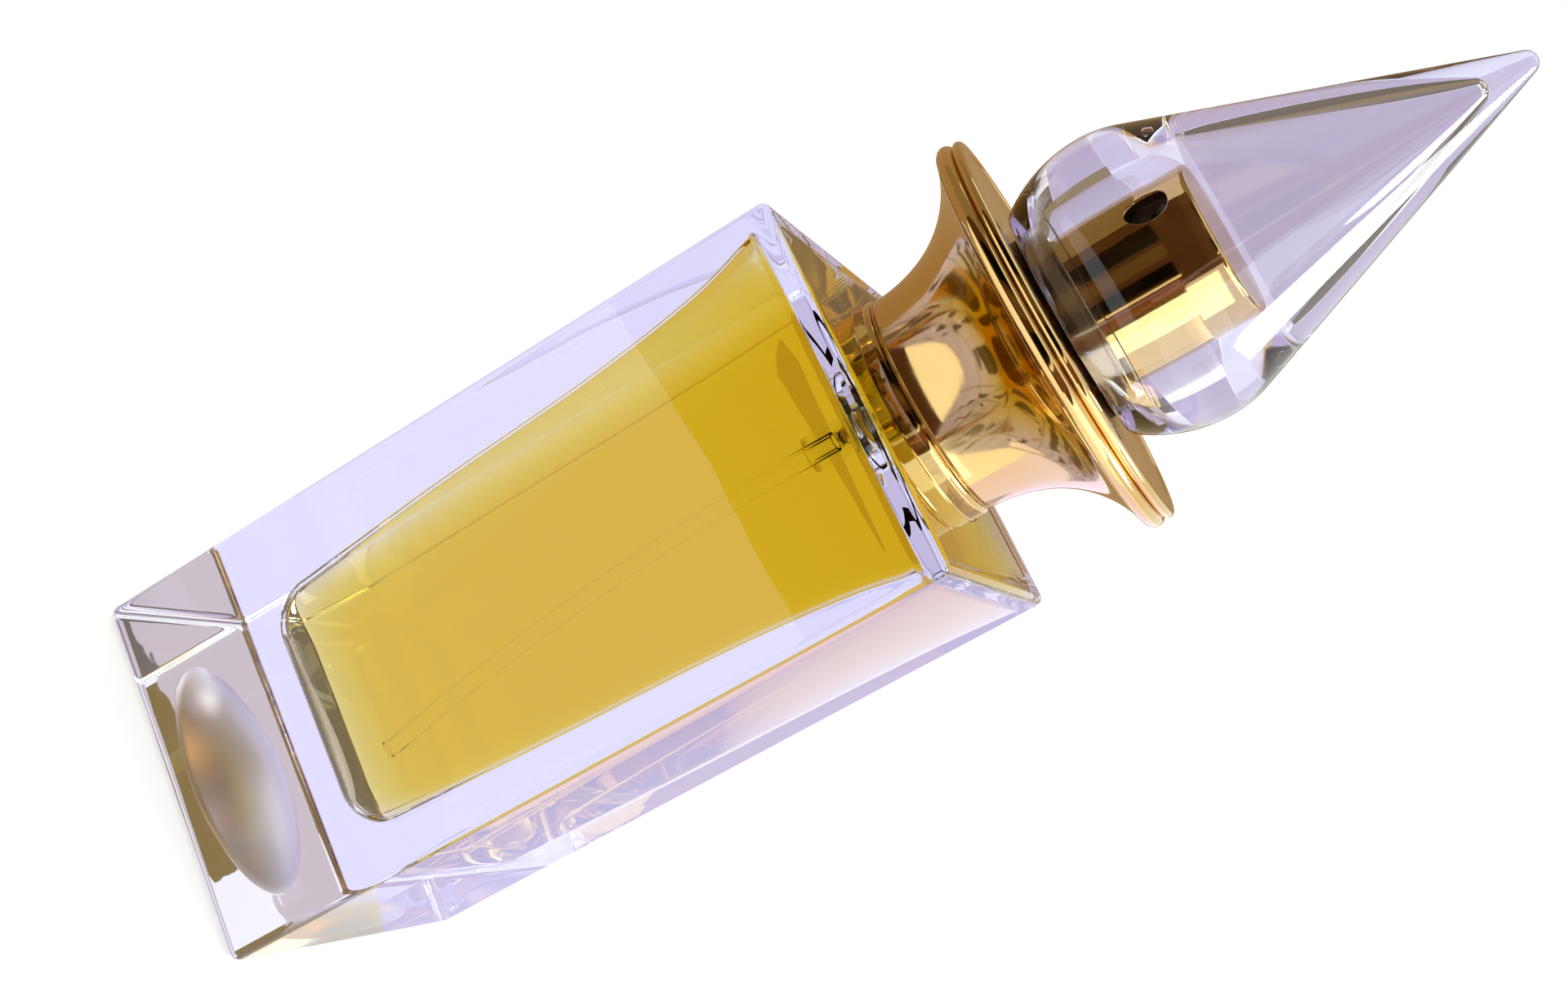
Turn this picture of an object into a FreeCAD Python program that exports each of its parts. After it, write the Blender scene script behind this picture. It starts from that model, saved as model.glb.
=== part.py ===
"""Square glass perfume bottle with a crimped spray pump, a flared gold collar and a clear pointed cap.

Millimetres, +Z up, -Y is the front. The origin is the middle of the underside.
"""
import FreeCAD, Part
import math
import os
from FreeCAD import Vector

# Glass body
BODY_WIDTH = 38.0
BODY_HEIGHT = 79.2
BODY_EDGE = 0.9
PUNT_RADIUS = 12.9
PUNT_DEPTH = 3.2

# Hollow of the body: (height, half width, corner radius) from the floor to the shoulder
HOLLOW = (
    (14.0, 13.0, 5.4),
    (36.0, 14.1, 3.6),
    (56.0, 14.9, 3.0),
    (69.0, 16.1, 2.8),
    (76.8, 17.7, 2.4),
)
HOLLOW_FLOOR_ROUND = 5.0

# Neck finish for a 15 mm crimp pump
NECK_RADIUS = 6.6
NECK_BORE = 5.25
LIP_RADIUS = 7.5
LIP_TOP = BODY_HEIGHT + 7.2
LIP_HEIGHT = 2.6
LIP_ROUND = 0.5

# Pump heights, stacked on the lip
GASKET = 0.8
FLANGE_LOW = LIP_TOP + GASKET
FLANGE_TOP = FLANGE_LOW + 1.0
FLANGE_RADIUS = LIP_RADIUS - 0.1
TURRET_TOP = FLANGE_TOP + 0.8
TURRET_NECK_RADIUS = 3.4
TURRET_NECK_TOP = TURRET_TOP + 2.0
FERRULE_WALL = 0.4
FERRULE_TOP = TURRET_TOP + FERRULE_WALL
CHAMBER_RADIUS = 3.0
CHAMBER_FLOOR = 74.6
HOUSING_RADIUS = 4.2
HOUSING_LOW = 73.5
HOUSING_BEVEL = 0.5
SPIGOT_RADIUS = 1.85
SPIGOT_LOW = 68.9
RUN = 0.04

# Check valve and dip tube
BALL_RADIUS = 1.0
SEAT_RADIUS = 0.75
SEAT_TOP = 72.0
CAGE_RADIUS = 1.25
BALL_REST = SEAT_TOP + math.sqrt(BALL_RADIUS ** 2 - SEAT_RADIUS ** 2) + RUN
TUBE_RADIUS = 1.0
TUBE_BORE = 0.7
TUBE_TOP = 71.6
TUBE_BEND_START = 66.0
TUBE_BEND_RADIUS = 252.0
TUBE_BEND_ANGLE = 11.3

# Stem, piston and springs
STEM_RADIUS = 1.6
STEM_BORE = 0.8
STEM_TOP = 99.2
STEM_SHOULDER_TOP = FLANGE_TOP - 0.2
STEM_SHOULDER_LOW = STEM_SHOULDER_TOP - 0.8
STEM_SHOULDER_RADIUS = 2.4
PISTON_TOP = STEM_SHOULDER_LOW - 1.3
PISTON_LOW = PISTON_TOP - 2.7
ROD_RADIUS = 1.0
ROD_FOOT_RADIUS = 1.3
ROD_HEAD_RADIUS = 2.3
ROD_HEAD_LOW = PISTON_LOW - 1.0
ROD_TOP = STEM_SHOULDER_TOP + 1.0
SPRING_RADIUS = 1.9
SPRING_WIRE = 0.25
SPRING_TURNS = 5
INNER_SPRING_RADIUS = 1.85
INNER_SPRING_WIRE = 0.15
INNER_SPRING_TURNS = 2
SEAL_TOP = FLANGE_TOP + 0.3

# Gold collar
COLLAR_LOW = BODY_HEIGHT
FOOT_RADIUS = 11.6
FOOT_HEIGHT = 1.9
FOOT_ROUND = 0.45
THROAT_RADIUS = 11.4
THROAT_LOW = COLLAR_LOW + FOOT_HEIGHT + 0.2
FLARE_LOW_RADIUS = 14.9
FLARE_LOW_ANGLE = 21.6
FLARE_TOP_RADIUS = 11.1
FLARE_TOP_ANGLE = 104.5
RIM_RADIUS = 20.5
RIM_TOP = COLLAR_LOW + 15.9
COLLAR_TOP = COLLAR_LOW + 16.9
COLLAR_WALL = 0.8
PLATE_RADIUS = RIM_RADIUS - 0.25

# Sleeve of the collar round the ferrule and the button, and the ring the cap grips
WELL_RADIUS = 8.35
INSERT_RADIUS = 8.9
RING_RADIUS = 9.5
RING_LOW = RIM_TOP
RING_TOP = COLLAR_LOW + 20.4
RING_LIP = 0.4
FERRULE_RADIUS = 8.3
RIB_COUNT = 8
RIB_WIDTH = 0.9
CARRIER_LOW = COLLAR_LOW + 0.1

# Spray button
BUTTON_RADIUS = 7.94
BUTTON_TOP = 110.4
BUTTON_LOW = 96.5
BUTTON_WALL = 0.6
BUTTON_EDGE = 0.45
CORE_RADIUS = BUTTON_RADIUS - BUTTON_WALL
CORE_TOP = BUTTON_TOP - BUTTON_WALL
CORE_WALL = 0.9
CORE_LOW = 97.0
BOSS_RADIUS = 2.8
BOSS_LOW = 95.0
NOZZLE_HEIGHT = 106.8
NOZZLE_HOLE = 1.6
NOZZLE_RADIUS = 1.5
NOZZLE_DEPTH = 0.9
NOZZLE_LENGTH = 2.6
NOZZLE_FACE = CORE_RADIUS - NOZZLE_DEPTH + BUTTON_WALL
NOZZLE_CUP_WALL = 0.45
ORIFICE_RADIUS = 0.18
SWIRL_POST_RADIUS = 0.8
NOZZLE_TURN = -26.6

# Clear cap
CAP_LOW = COLLAR_TOP + 0.1
CAP_MOUTH = 11.7
CAP_WIDEST = 14.67
CAP_WIDEST_HEIGHT = 104.9
CAP_UPPER_ARC = 11.4
CAP_CONE = 21.26
CAP_TIP_ROUND = 1.2
CAP_BORE = 10.3
CAP_CONE_START = 111.6
CAP_HOLLOW_ROUND = 4.0
CAP_HOLLOW_TIP = 0.8
LINER_GAP = 0.06
LINER_TOP = 100.3

AXIS = Vector(0, 0, 1)
CENTRE = Vector(0, 0, 0)


def save(node, shape):
    """Write one named piece as a STEP file."""
    shape.exportStep("parts/" + node + ".step")


def polar(centre, radius, degrees):
    """Point (r, z) on a circle round centre, counted from the outward direction."""
    angle = math.radians(degrees)
    return (centre[0] + radius * math.cos(angle), centre[1] + radius * math.sin(angle))


def arc(centre, radius, start, end):
    """Arc step for an outline: the middle and end points of an arc between two angles."""
    return (polar(centre, radius, (start + end) / 2), polar(centre, radius, end))


def outline(start, steps):
    """Closed wire in the half plane beside the axis.

    A step is a point (r, z) for a straight edge, or a pair of points for an arc.
    """
    edges = []
    here = Vector(start[0], 0, start[1])
    for step in list(steps) + [start]:
        if isinstance(step[0], tuple):
            through = Vector(step[0][0], 0, step[0][1])
            end = Vector(step[1][0], 0, step[1][1])
            edges.append(Part.Arc(here, through, end).toShape())
        else:
            end = Vector(step[0], 0, step[1])
            if end.distanceToPoint(here) > 1e-6:
                edges.append(Part.makeLine(here, end))
        here = end
    return Part.Wire(edges)


def turned(start, *steps):
    """Solid of revolution from an outline."""
    return Part.Face(outline(start, steps)).revolve(CENTRE, AXIS, 360)


def rod(radius, low, high):
    """Upright round bar on the axis."""
    return Part.makeCylinder(radius, high - low, Vector(0, 0, low))


def ring(bore, radius, low, high):
    """Upright tube on the axis."""
    return turned((bore, low), (radius, low), (radius, high), (bore, high))


def one_solid(shape):
    """The single solid of a boolean result, with its coplanar faces merged."""
    return shape.removeSplitter().Solids[0]


def rounded_square(half, corner, height):
    """Square wire with rounded corners, centred on the axis."""
    flat = half - corner
    middle = flat + corner * math.sqrt(0.5)
    edges = []
    for turn in range(4):
        side = Part.makeLine(Vector(half, -flat, height), Vector(half, flat, height))
        through = Vector(middle, middle, height)
        bend = Part.Arc(Vector(half, flat, height), through, Vector(flat, half, height))
        for edge in (side, bend.toShape()):
            edge.rotate(CENTRE, AXIS, 90 * turn)
            edges.append(edge)
    return Part.Wire(edges)


def hollow():
    """Space inside the glass body: a square well that flares towards the shoulder."""
    sections = [rounded_square(half, corner, height) for height, half, corner in HOLLOW]
    well = Part.makeLoft(sections, True, False)
    floor = HOLLOW[0][0]
    edges = [edge for edge in well.Edges if edge.BoundBox.ZMax < floor + 0.01]
    return well.makeFillet(HOLLOW_FLOOR_ROUND, edges)


def glass_bottle():
    """Thick square block with the hollow, the punt under it and the neck on top."""
    half = BODY_WIDTH / 2
    block = Part.makeBox(BODY_WIDTH, BODY_WIDTH, BODY_HEIGHT, Vector(-half, -half, 0))
    block = block.makeFillet(BODY_EDGE, block.Edges)
    lip_low = LIP_TOP - LIP_HEIGHT
    under = lip_low - (LIP_RADIUS - NECK_RADIUS)
    neck = turned(
        (0, BODY_HEIGHT - 1),
        (NECK_RADIUS, BODY_HEIGHT - 1),
        (NECK_RADIUS, under),
        (LIP_RADIUS, lip_low),
        (LIP_RADIUS, LIP_TOP - LIP_ROUND),
        arc((LIP_RADIUS - LIP_ROUND, LIP_TOP - LIP_ROUND), LIP_ROUND, 0, 90),
        (0, LIP_TOP),
    )
    punt_sphere = (PUNT_RADIUS ** 2 + PUNT_DEPTH ** 2) / (2 * PUNT_DEPTH)
    punt = Part.makeSphere(punt_sphere, Vector(0, 0, PUNT_DEPTH - punt_sphere))
    bore = rod(NECK_BORE, HOLLOW[-1][0] - 0.5, LIP_TOP + 1)
    bottle = block.fuse(neck).cut(hollow()).cut(punt).cut(bore)
    return one_solid(bottle)


def pump_envelope():
    """Outside of the pump housing below its flange, with no bore."""
    return turned(
        (0, SPIGOT_LOW),
        (SPIGOT_RADIUS, SPIGOT_LOW),
        (SPIGOT_RADIUS, HOUSING_LOW),
        (HOUSING_RADIUS - HOUSING_BEVEL, HOUSING_LOW),
        (HOUSING_RADIUS, HOUSING_LOW + HOUSING_BEVEL),
        (HOUSING_RADIUS, FLANGE_LOW),
        (0, FLANGE_LOW),
    )


def pump_housing():
    """Pump body: flange on the neck, dosing chamber, ball cage, valve seat and dip tube spigot."""
    flange = rod(FLANGE_RADIUS, FLANGE_LOW, FLANGE_TOP)
    nib = 0.25
    nib_radius = BALL_RADIUS - 0.1
    bore = turned(
        (0, SPIGOT_LOW - 1),
        (TUBE_RADIUS, SPIGOT_LOW - 1),
        (TUBE_RADIUS, TUBE_TOP),
        (SEAT_RADIUS, TUBE_TOP),
        (SEAT_RADIUS, SEAT_TOP),
        (CAGE_RADIUS, SEAT_TOP),
        (CAGE_RADIUS, CHAMBER_FLOOR - nib),
        (nib_radius, CHAMBER_FLOOR - nib),
        (nib_radius, CHAMBER_FLOOR),
        (CHAMBER_RADIUS, CHAMBER_FLOOR),
        (CHAMBER_RADIUS, FLANGE_TOP + 1),
        (0, FLANGE_TOP + 1),
    )
    return one_solid(pump_envelope().fuse(flange).cut(bore))


def bent_rod(radius):
    """Bar along the dip tube's route: straight down, then one long gentle bend towards +X."""
    straight = rod(radius, TUBE_BEND_START, TUBE_TOP)
    section = Part.Face(Part.Wire(Part.makeCircle(radius, Vector(0, 0, TUBE_BEND_START))))
    bend = section.revolve(Vector(TUBE_BEND_RADIUS, 0, TUBE_BEND_START), Vector(0, -1, 0), TUBE_BEND_ANGLE)
    return one_solid(straight.fuse(bend))


def dip_tube():
    """Thin tube from the pump to the floor of the bottle."""
    return one_solid(bent_rod(TUBE_RADIUS).cut(bent_rod(TUBE_BORE)))


def perfume():
    """Liquid that fills the hollow round the pump and the dip tube."""
    return one_solid(hollow().cut(pump_envelope()).cut(bent_rod(TUBE_RADIUS)))


def check_ball():
    """Ball on the inlet seat."""
    return Part.makeSphere(BALL_RADIUS, Vector(0, 0, BALL_REST))


def coil(radius, wire, low, high, turns):
    """Round-wire compression spring between two heights."""
    rise = high - low - 2 * wire
    path = Part.makeHelix(rise / turns, rise, radius)
    path.translate(Vector(0, 0, low + wire))
    section = Part.Wire(Part.makeCircle(wire, Vector(radius, 0, low + wire), Vector(0, 1, 0)))
    return Part.Wire(path.Edges).makePipeShell([section], True, True)


def return_spring():
    """Spring that lifts the stem, between the chamber floor and the rod's head."""
    return coil(SPRING_RADIUS, SPRING_WIRE, CHAMBER_FLOOR, ROD_HEAD_LOW, SPRING_TURNS)


def inner_spring():
    """Small spring that holds the piston shut on the rod until the dose is under pressure."""
    wire = INNER_SPRING_WIRE
    return coil(INNER_SPRING_RADIUS, wire, PISTON_TOP, STEM_SHOULDER_LOW, INNER_SPRING_TURNS)


def pump_stem():
    """Hollow stem that carries the button, with the shoulder that stops it under the turret."""
    foot_low = PISTON_TOP + 0.5
    foot_radius = ROD_RADIUS + 0.4
    tip_bevel = 0.3
    return turned(
        (ROD_RADIUS, foot_low),
        (foot_radius, foot_low),
        (foot_radius, STEM_SHOULDER_LOW),
        (STEM_SHOULDER_RADIUS, STEM_SHOULDER_LOW),
        (STEM_SHOULDER_RADIUS, STEM_SHOULDER_TOP),
        (STEM_RADIUS, STEM_SHOULDER_TOP),
        (STEM_RADIUS, STEM_TOP - tip_bevel),
        (STEM_RADIUS - tip_bevel, STEM_TOP),
        (STEM_BORE, STEM_TOP),
        (STEM_BORE, ROD_TOP),
        (ROD_RADIUS, ROD_TOP),
    )


def valve_rod():
    """Outlet valve pin under the stem: the piston seals on its head."""
    foot_low = ROD_HEAD_LOW - 1.2
    foot_bevel = 0.2
    seat_radius = 1.5
    seat_top = PISTON_LOW - RUN
    pin = turned(
        (0, foot_low),
        (ROD_FOOT_RADIUS - foot_bevel, foot_low),
        (ROD_FOOT_RADIUS, foot_low + foot_bevel),
        (ROD_FOOT_RADIUS, ROD_HEAD_LOW),
        (ROD_HEAD_RADIUS, ROD_HEAD_LOW),
        (ROD_HEAD_RADIUS, PISTON_LOW - 0.3),
        (seat_radius, seat_top),
        (ROD_RADIUS, seat_top),
        (ROD_RADIUS, ROD_TOP),
        (0, ROD_TOP),
    )
    flute_low = PISTON_LOW + 0.6
    flute_width = 0.7
    flute_floor = 0.55
    flute = Part.makeBox(
        flute_width, ROD_RADIUS, ROD_TOP + 1 - flute_low, Vector(-flute_width / 2, flute_floor, flute_low)
    )
    for turn in range(3):
        cutter = flute.copy()
        cutter.rotate(CENTRE, AXIS, 120 * turn)
        pin = pin.cut(cutter)
    return one_solid(pin)


def piston():
    """Sliding piston with an outer lip at each end and a thin waist."""
    bore = ROD_RADIUS + RUN
    lip = CHAMBER_RADIUS - RUN
    waist = lip - 0.5
    lip_height = 0.6
    groove_top = PISTON_LOW + lip_height
    return turned(
        (bore, PISTON_LOW),
        (bore + 0.5, PISTON_LOW),
        (bore + 0.7, groove_top),
        (lip - 0.3, groove_top),
        (lip - 0.2, PISTON_LOW),
        (lip, PISTON_LOW),
        (lip, groove_top),
        (waist, groove_top + 0.3),
        (waist, PISTON_TOP - 0.8),
        (lip, PISTON_TOP - 0.5),
        (lip, PISTON_TOP),
        (bore, PISTON_TOP),
    )


def stem_seal():
    """Rubber washer round the stem, under the turret."""
    return ring(STEM_RADIUS + 0.02, CHAMBER_RADIUS, STEM_SHOULDER_TOP + 0.05, SEAL_TOP)


def pump_turret():
    """Cover of the pump housing that guides the stem."""
    guide = STEM_RADIUS + RUN
    bevel = 0.4
    return turned(
        (guide, SEAL_TOP),
        (CHAMBER_RADIUS, SEAL_TOP),
        (CHAMBER_RADIUS, FLANGE_TOP),
        (FLANGE_RADIUS, FLANGE_TOP),
        (FLANGE_RADIUS, TURRET_TOP),
        (TURRET_NECK_RADIUS, TURRET_TOP),
        (TURRET_NECK_RADIUS, TURRET_NECK_TOP - bevel),
        (TURRET_NECK_RADIUS - bevel, TURRET_NECK_TOP),
        (guide, TURRET_NECK_TOP),
    )


def neck_gasket():
    """Flat gasket between the lip and the pump flange."""
    return ring(NECK_BORE + 0.1, FLANGE_RADIUS, LIP_TOP, FLANGE_LOW)


def crimp_ferrule():
    """Aluminium cup crimped under the lip of the neck."""
    crimp_top = LIP_TOP - LIP_HEIGHT
    crimp_low = crimp_top - 1.0
    skirt = FERRULE_RADIUS - FERRULE_WALL
    tuck = 0.75
    bend = 0.8
    bore = TURRET_NECK_RADIUS + 0.05
    return turned(
        (bore, TURRET_TOP),
        (skirt, TURRET_TOP),
        (skirt, crimp_top),
        (skirt - tuck, crimp_low),
        (skirt - tuck + FERRULE_WALL, crimp_low),
        (FERRULE_RADIUS, crimp_top),
        (FERRULE_RADIUS, FERRULE_TOP - bend),
        arc((FERRULE_RADIUS - bend, FERRULE_TOP - bend), bend, 0, 90),
        (bore, FERRULE_TOP),
    )


def flare(wall):
    """Trumpet curve of the collar, a wall's thickness inside its outer face.

    Two tangent arcs, from the throat up to the underside of the rim: first point, then arc steps.
    """
    low_centre = (THROAT_RADIUS + FLARE_LOW_RADIUS, THROAT_LOW)
    turn = 180 - FLARE_LOW_ANGLE
    meet = polar(low_centre, FLARE_LOW_RADIUS, turn)
    top_centre = polar(meet, FLARE_TOP_RADIUS, -FLARE_LOW_ANGLE)
    start = polar(low_centre, FLARE_LOW_RADIUS + wall, 180)
    low_arc = arc(low_centre, FLARE_LOW_RADIUS + wall, 180, turn)
    top_arc = arc(top_centre, FLARE_TOP_RADIUS + wall, turn, FLARE_TOP_ANGLE)
    return start, low_arc, top_arc


def collar_shell():
    """Gold trumpet: foot bead, narrow throat, flare and rounded rim."""
    start, low_arc, top_arc = flare(0)
    inner_start, inner_low, inner_top = flare(COLLAR_WALL)
    under_rim = top_arc[1]
    rim_middle = (under_rim[1] + RIM_TOP) / 2
    foot_top = COLLAR_LOW + FOOT_HEIGHT
    foot_round_centre = (FOOT_RADIUS - FOOT_ROUND, foot_top - FOOT_ROUND)
    inner_radius = inner_start[0]
    outer = turned(
        (0, COLLAR_LOW),
        (FOOT_RADIUS - 0.2, COLLAR_LOW),
        (FOOT_RADIUS, COLLAR_LOW + 0.2),
        (FOOT_RADIUS, foot_top - FOOT_ROUND),
        arc(foot_round_centre, FOOT_ROUND, 0, 90),
        (start[0] - 0.1, foot_top),
        start,
        low_arc,
        top_arc,
        ((RIM_RADIUS, rim_middle), (under_rim[0] - 0.2, RIM_TOP)),
        (0, RIM_TOP),
    )
    inner = turned(
        (0, COLLAR_LOW - 1),
        (inner_radius, COLLAR_LOW - 1),
        inner_start,
        inner_low,
        inner_top,
        (inner_top[1][0], RIM_TOP + 1),
        (0, RIM_TOP + 1),
    )
    return one_solid(outer.cut(inner))


def collar_inside():
    """Space inside the collar shell between the glass and the top plate."""
    inner_start, inner_low, inner_top = flare(COLLAR_WALL)
    return turned(
        (INSERT_RADIUS - 0.2, CARRIER_LOW),
        (inner_start[0], CARRIER_LOW),
        inner_start,
        inner_low,
        inner_top,
        (inner_top[1][0], RIM_TOP),
        (INSERT_RADIUS - 0.2, RIM_TOP),
    )


def collar_insert():
    """Plastic carrier inside the collar: a sleeve that grips the ferrule, two flanges and ribs."""
    root = INSERT_RADIUS - 0.1
    sleeve = ring(WELL_RADIUS, INSERT_RADIUS, CARRIER_LOW, RING_TOP - RING_LIP)
    low_flange = ring(root, RIM_RADIUS, CARRIER_LOW, CARRIER_LOW + 1.2)
    top_flange = ring(root, RIM_RADIUS, RIM_TOP - 1.0, RIM_TOP)
    carrier = low_flange.fuse(top_flange)
    for index in range(RIB_COUNT):
        corner = Vector(root, -RIB_WIDTH / 2, COLLAR_LOW)
        rib = Part.makeBox(RIM_RADIUS, RIB_WIDTH, RIM_TOP - COLLAR_LOW, corner)
        rib.rotate(CENTRE, AXIS, 360 * index / RIB_COUNT)
        carrier = carrier.fuse(rib)
    carrier = carrier.common(collar_inside()).fuse(sleeve)
    well = rod(WELL_RADIUS, COLLAR_LOW - 1, RING_TOP + 1)
    return one_solid(carrier.cut(well))


def collar_top_plate():
    """Gold disc that closes the collar's mouth."""
    edge = (COLLAR_TOP - RIM_TOP) / 2
    return turned(
        (RING_RADIUS, RIM_TOP),
        (PLATE_RADIUS - edge, RIM_TOP),
        ((PLATE_RADIUS, RIM_TOP + edge), (PLATE_RADIUS - edge, COLLAR_TOP)),
        (RING_RADIUS, COLLAR_TOP),
    )


def collar_ring():
    """Gold ring round the sleeve's upper end, which the cap's liner slides over."""
    edge = 0.25
    return turned(
        (INSERT_RADIUS, RING_LOW),
        (RING_RADIUS, RING_LOW),
        (RING_RADIUS, RING_TOP - edge),
        arc((RING_RADIUS - edge, RING_TOP - edge), edge, 0, 90),
        (WELL_RADIUS, RING_TOP),
        (WELL_RADIUS, RING_TOP - RING_LIP),
        (INSERT_RADIUS, RING_TOP - RING_LIP),
    )


def spray_bar(radius, start, end):
    """Round bar along the spray's direction, between two distances from the axis."""
    return Part.makeCylinder(radius, end - start, Vector(0, -start, NOZZLE_HEIGHT), Vector(0, -1, 0))


def aimed(shape):
    """Turn a piece of the button from the front to the spray's direction."""
    shape.rotate(CENTRE, AXIS, NOZZLE_TURN)
    return shape


def button_sleeve():
    """Gold cup over the button, with the spray hole."""
    cup = turned(
        (CORE_RADIUS, BUTTON_LOW),
        (BUTTON_RADIUS, BUTTON_LOW),
        (BUTTON_RADIUS, BUTTON_TOP - BUTTON_EDGE),
        arc((BUTTON_RADIUS - BUTTON_EDGE, BUTTON_TOP - BUTTON_EDGE), BUTTON_EDGE, 0, 90),
        (0, BUTTON_TOP),
        (0, CORE_TOP),
        (CORE_RADIUS, CORE_TOP),
    )
    return aimed(one_solid(cup.cut(spray_bar(NOZZLE_HOLE, CORE_RADIUS - 1, BUTTON_RADIUS + 1))))


def button_core():
    """Plastic button: skirt, top plate, stem socket, ribs, feed channel and swirl post."""
    skirt = CORE_RADIUS - CORE_WALL
    plate_low = CORE_TOP - 1.2
    post_root = 2.4
    block = 5.0
    rib = 0.8
    feed = 0.6
    core = turned(
        (0, plate_low),
        (skirt, plate_low),
        (skirt, CORE_LOW),
        (CORE_RADIUS, CORE_LOW),
        (CORE_RADIUS, CORE_TOP),
        (0, CORE_TOP),
    )
    core = core.fuse(rod(BOSS_RADIUS, BOSS_LOW, plate_low + 0.1))
    block_corner = Vector(-block / 2, -skirt - 0.2, NOZZLE_HEIGHT - block / 2)
    core = core.fuse(Part.makeBox(block, skirt + 0.2, block, block_corner))
    for turn in (90, 180, 270):
        plate = Part.makeBox(rib, skirt - 1.8, 7.0, Vector(-rib / 2, -skirt - 0.2, plate_low - 6.9))
        plate.rotate(CENTRE, AXIS, turn)
        core = core.fuse(plate)
    socket = rod(STEM_RADIUS + 0.02, BOSS_LOW - 1, STEM_TOP + 0.02)
    channel = rod(STEM_BORE, STEM_TOP - 1, NOZZLE_HEIGHT + 1.2)
    bore = spray_bar(NOZZLE_RADIUS, post_root, CORE_RADIUS + 1)
    slot = Part.makeBox(feed, post_root + 0.1, 2.6, Vector(-feed / 2, -post_root - 0.1, NOZZLE_HEIGHT - 1.3))
    core = core.cut(socket).cut(channel).cut(bore).cut(slot)
    core = core.fuse(spray_bar(SWIRL_POST_RADIUS, post_root - 0.4, NOZZLE_FACE - 0.8))
    return aimed(one_solid(core))


def nozzle_insert():
    """Orifice cup pressed into the button over the swirl post."""
    back = NOZZLE_FACE - NOZZLE_LENGTH
    dish_depth = 0.4
    dish_radius = 0.9
    cup = spray_bar(NOZZLE_RADIUS, back, NOZZLE_FACE)
    cup = cup.cut(spray_bar(NOZZLE_RADIUS - NOZZLE_CUP_WALL, back - 1, NOZZLE_FACE - 0.7))
    cup = cup.cut(spray_bar(ORIFICE_RADIUS, NOZZLE_FACE - 1, NOZZLE_FACE + 1))
    dish_floor = Vector(0, dish_depth - NOZZLE_FACE, NOZZLE_HEIGHT)
    dish = Part.makeCone(ORIFICE_RADIUS, dish_radius, dish_depth, dish_floor, Vector(0, -1, 0))
    return aimed(one_solid(cup.cut(dish)))


def pointed(radius, height, tip_round):
    """Steps from a point on the cap's cone up its straight side and over its rounded tip."""
    slope = math.radians(CAP_CONE)
    apex = height + radius / math.tan(slope)
    centre = (0, apex - tip_round / math.sin(slope))
    return polar(centre, tip_round, CAP_CONE), arc(centre, tip_round, CAP_CONE, 90)


def cap_shell():
    """Clear cap: a full lower bulge that runs into a long cone, hollow to near the tip."""
    upper_centre = (CAP_WIDEST - CAP_UPPER_ARC, CAP_WIDEST_HEIGHT)
    drop = CAP_WIDEST_HEIGHT - CAP_LOW
    inset = CAP_WIDEST - CAP_MOUTH
    lower_arc = (drop ** 2 + inset ** 2) / (2 * inset)
    lower_centre = (CAP_WIDEST - lower_arc, CAP_WIDEST_HEIGHT)
    lower_start = -math.degrees(math.asin(drop / lower_arc))
    cone_start = polar(upper_centre, CAP_UPPER_ARC, CAP_CONE)
    side, tip = pointed(cone_start[0], cone_start[1], CAP_TIP_ROUND)
    outer = turned(
        (0, CAP_LOW),
        (CAP_MOUTH, CAP_LOW),
        arc(lower_centre, lower_arc, lower_start, 0),
        arc(upper_centre, CAP_UPPER_ARC, 0, CAP_CONE),
        side,
        tip,
    )
    bend_centre = (CAP_BORE - CAP_HOLLOW_ROUND, CAP_CONE_START)
    bend_end = polar(bend_centre, CAP_HOLLOW_ROUND, CAP_CONE)
    inner_side, inner_tip = pointed(bend_end[0], bend_end[1], CAP_HOLLOW_TIP)
    inner = turned(
        (0, CAP_LOW - 1),
        (CAP_BORE, CAP_LOW - 1),
        (CAP_BORE, CAP_CONE_START),
        arc(bend_centre, CAP_HOLLOW_ROUND, 0, CAP_CONE),
        inner_side,
        inner_tip,
    )
    return one_solid(outer.cut(inner))


def cap_liner():
    """Clear sleeve in the cap's mouth that grips the collar ring."""
    bore = RING_RADIUS + LINER_GAP
    lead = 0.3
    return turned(
        (bore + lead, CAP_LOW + 0.1),
        (CAP_BORE, CAP_LOW + 0.1),
        (CAP_BORE, LINER_TOP),
        (bore, LINER_TOP),
        (bore, CAP_LOW + 0.1 + lead),
    )


PIECES = (
    glass_bottle,
    perfume,
    dip_tube,
    pump_housing,
    check_ball,
    return_spring,
    inner_spring,
    pump_stem,
    valve_rod,
    piston,
    stem_seal,
    pump_turret,
    neck_gasket,
    crimp_ferrule,
    collar_shell,
    collar_insert,
    collar_top_plate,
    collar_ring,
    button_sleeve,
    button_core,
    nozzle_insert,
    cap_shell,
    cap_liner,
)

os.makedirs("parts", exist_ok=True)
for piece in PIECES:
    save(piece.__name__, piece())
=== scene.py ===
"""Looks of the perfume bottle: clear glass, golden perfume, gold collar and button, clear pointed cap."""
import math
import bmesh
import bpy
from mathutils import Matrix, Vector


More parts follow.
